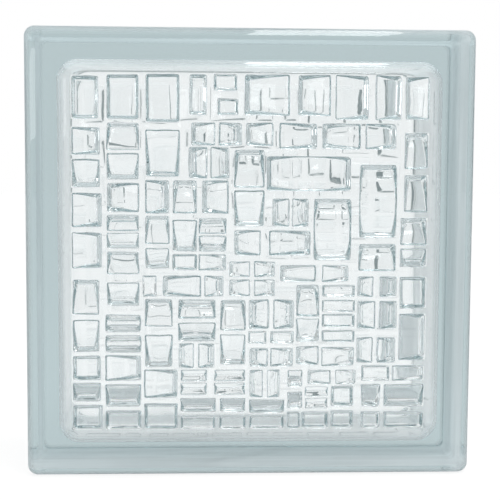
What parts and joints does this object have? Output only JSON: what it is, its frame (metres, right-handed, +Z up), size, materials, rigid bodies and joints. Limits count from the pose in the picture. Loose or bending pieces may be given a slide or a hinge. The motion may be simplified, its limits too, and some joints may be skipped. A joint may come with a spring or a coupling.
{
  "type": "glass block",
  "caption": "Square hollow glass building block with a mosaic of raised rectangles pressed into the inner side of both faces, lipped edges and a sunken mortar key.",
  "frame": {"origin": "under the middle of the block, on the surface it stands on", "axes": "+Z up, +Y from the front face to the back face, +X to the right as seen from the front"},
  "size_m": [0.19, 0.08, 0.19],
  "materials": {
    "pressed_glass": "fire-polished clear pressed glass with a faint blue-green tint"
  },
  "bodies": {
    "root": {"front_half": "pressed_glass", "back_half": "pressed_glass"}
  },
  "joints": []
}
